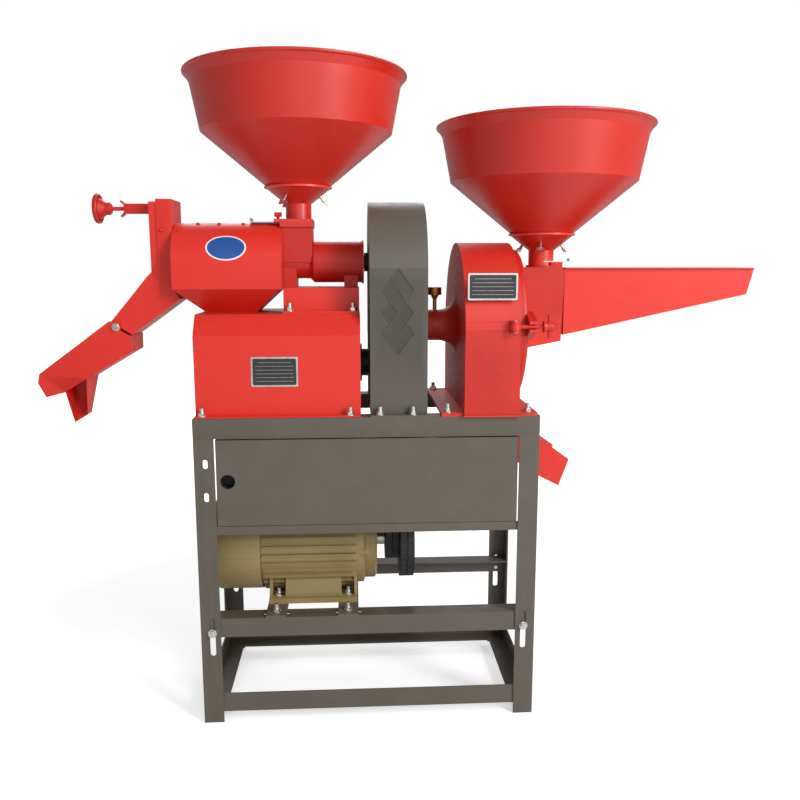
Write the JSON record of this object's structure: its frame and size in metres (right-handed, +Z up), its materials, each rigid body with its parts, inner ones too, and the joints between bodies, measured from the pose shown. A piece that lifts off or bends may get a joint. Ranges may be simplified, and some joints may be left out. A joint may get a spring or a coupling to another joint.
{
  "type": "rice huller",
  "caption": "Steel-framed combined rice mill and claw crusher with two spun hoppers, a fan blower, a belt guard, a motor under the table and outlet chutes.",
  "frame": {"origin": "middle of the bounding box, on the floor under the four legs", "axes": "+X along the machine towards the feed tray, +Y from front to back, +Z up"},
  "size_m": [1.406, 0.4264, 1.247],
  "materials": {
    "red_sheet": "satin",
    "red_cast": "satin",
    "grey": "satin",
    "khaki": "satin",
    "zinc": "satin",
    "steel": "satin",
    "iron": "rough",
    "dark_iron": "rough",
    "rubber": "matte",
    "black": "matte",
    "brass": "satin"
  },
  "bodies": {
    "machine": {"rice_hopper": "red_sheet", "rice_funnel": "red_sheet", "blower_box": "red_sheet", "mill_pedestal": "red_sheet", "drum_cover": "red_sheet", "bran_funnel": "red_sheet", "outlet_head": "red_sheet", "outlet_cover": "red_sheet", "meal_chute": "red_sheet", "mill_casting": "red_cast", "crusher_casing": "red_cast", "crusher_bearing_housing": "red_cast", "frame_legs": "grey", "frame_rails": "grey", "motor_rails": "grey", "front_panel": "grey", "belt_guard": "grey", "motor_fan_cowl": "khaki", "terminal_box": "khaki", "motor_frame": "khaki", "motor_end_shields": "khaki", "mounting_bolts": "zinc", "pivot_pins": "zinc", "rice_hopper_screws": "zinc", "ball_bearings": "steel", "rice_screen": "steel", "ring_sieve": "steel", "fan_bearing": "dark_iron", "drive_belts": "rubber", "grease_cup": "brass"},
    "motor_rotor": {"motor_rotor": "steel", "motor_fan": "black", "motor_pulley": "dark_iron"},
    "mill_rotor": {"mill_shaft": "steel", "milling_roller": "iron", "feed_screw": "iron", "mill_pulley": "dark_iron"},
    "crusher_drive": {"crusher_shaft": "steel", "crusher_rotor": "iron", "crusher_pulley": "dark_iron"},
    "fan_rotor": {"fan_shaft": "steel", "fan_impeller": "steel", "fan_pulley": "dark_iron"},
    "spring_seat": {"spring_seat": "zinc", "pressure_spring": "steel"},
    "handwheel": {"pressure_handwheel": "red_cast", "pressure_spindle": "red_cast"},
    "flap": {"pressure_flap": "zinc"},
    "chute": {"lower_chute": "red_sheet"},
    "rice_gate": {"rice_gate": "zinc"},
    "gate_screw": {"rice_gate_screw": "red_sheet"},
    "door": {"crusher_door": "red_cast", "crusher_inlet_box": "red_sheet", "feed_tray": "red_sheet", "grain_funnel": "red_sheet", "grain_hopper": "red_sheet", "grain_hopper_screws": "zinc"},
    "grain_gate": {"grain_gate": "zinc"},
    "swing_bolt": {"swing_bolt": "red_cast"},
    "clamp_nut": {"clamp_nut": "red_cast"}
  },
  "joints": [
    {"name": "motor_spin", "type": "hinge", "parent": "machine", "child": "motor_rotor", "pos_m": [-0.005, 0, 0.319], "axis": [1, 0, 0], "continuous": true},
    {"name": "mill_spin", "type": "hinge", "parent": "machine", "child": "mill_rotor", "pos_m": [-0.015, 0, 0.894], "axis": [1, 0, 0], "continuous": true},
    {"name": "crusher_spin", "type": "hinge", "parent": "machine", "child": "crusher_drive", "pos_m": [0.015, 0, 0.768], "axis": [1, 0, 0], "continuous": true},
    {"name": "fan_spin", "type": "hinge", "parent": "machine", "child": "fan_rotor", "pos_m": [-0.036, 0, 0.693], "axis": [1, 0, 0], "continuous": true},
    {"name": "spring_seat_slide", "type": "slide", "parent": "machine", "child": "spring_seat", "axis": [1, 0, 0], "range_m": [-0.0003, 0.018], "deforming": ["pressure_spring"]},
    {"name": "handwheel_turn", "type": "hinge", "parent": "spring_seat", "child": "handwheel", "pos_m": [-0.565, 0, 0.996], "axis": [1, 0, 0], "range_deg": [-86.4, 5184]},
    {"name": "pressure_flap_open", "type": "hinge", "parent": "machine", "child": "flap", "pos_m": [-0.443, 0, 0.857], "axis": [0, -1, 0], "range_deg": [0, 5], "stiffness_Nm_per_rad": 2},
    {"name": "lower_chute_tilt", "type": "hinge", "parent": "machine", "child": "chute", "pos_m": [-0.5485, 0, 0.77], "axis": [0, 1, 0], "range_deg": [-5, 10]},
    {"name": "rice_gate_slide", "type": "slide", "parent": "machine", "child": "rice_gate", "axis": [-1, 0, 0], "range_m": [0, 0.05]},
    {"name": "rice_gate_screw_turn", "type": "hinge", "parent": "machine", "child": "gate_screw", "pos_m": [-0.2365, 0, 0.972], "axis": [0, 0, 1], "range_deg": [0, 720]},
    {"name": "crusher_door_swing", "type": "hinge", "parent": "machine", "child": "door", "pos_m": [0.201, 0.176, 0.768], "axis": [0, 0, 1], "range_deg": [0, 105]},
    {"name": "grain_gate_slide", "type": "slide", "parent": "door", "child": "grain_gate", "axis": [1, 0, 0], "range_m": [0, 0.046]},
    {"name": "swing_bolt_swing", "type": "hinge", "parent": "machine", "child": "swing_bolt", "pos_m": [0.205, -0.174, 0.777], "axis": [0, 0, -1], "range_deg": [0, 110]},
    {"name": "clamp_nut_turn", "type": "hinge", "parent": "swing_bolt", "child": "clamp_nut", "pos_m": [0.27, -0.174, 0.777], "axis": [1, 0, 0], "range_deg": [-720, 0]}
  ],
  "couplings": [
    {"joint": "mill_spin", "follows": "motor_spin", "ratio": 0.45977},
    {"joint": "crusher_spin", "follows": "motor_spin", "ratio": 2.6552},
    {"joint": "fan_spin", "follows": "motor_spin", "ratio": 1.1429},
    {"joint": "handwheel_turn", "follows": "spring_seat_slide", "rad_per_m": 5026.5}
  ]
}
